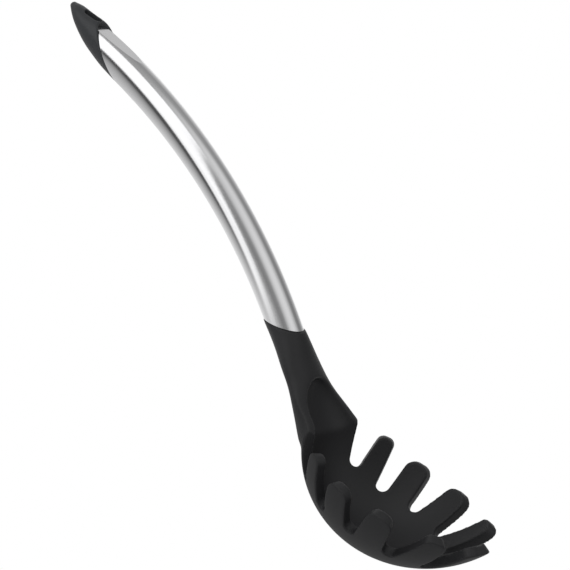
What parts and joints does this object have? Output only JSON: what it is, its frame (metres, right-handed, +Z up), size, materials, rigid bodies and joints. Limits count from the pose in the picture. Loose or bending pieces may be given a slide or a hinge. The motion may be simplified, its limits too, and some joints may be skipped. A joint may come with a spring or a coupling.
{
  "type": "pasta server",
  "caption": "Pasta server with a deep toothed bowl and its neck in one moulding, a bent round metal tube handle and an end cap with a hanging slot.",
  "frame": {"origin": "on the table, under the middle of the object as it lies with the bowl open upwards", "axes": "+X from the end cap towards the bowl's front teeth, +Y across to the left seen from the cap, +Z up"},
  "size_m": [0.3236, 0.0726, 0.0644],
  "materials": {
    "head_plastic": "fine matte moulded surface",
    "steel": "satin, brushed along the tube",
    "cap_plastic": "smooth satin moulded surface",
    "adhesive": "cured adhesive, hidden"
  },
  "bodies": {
    "root": {"head": "head_plastic", "handle_tube": "steel", "end_cap": "cap_plastic", "head_bond": "adhesive", "cap_bond": "adhesive"}
  },
  "joints": []
}
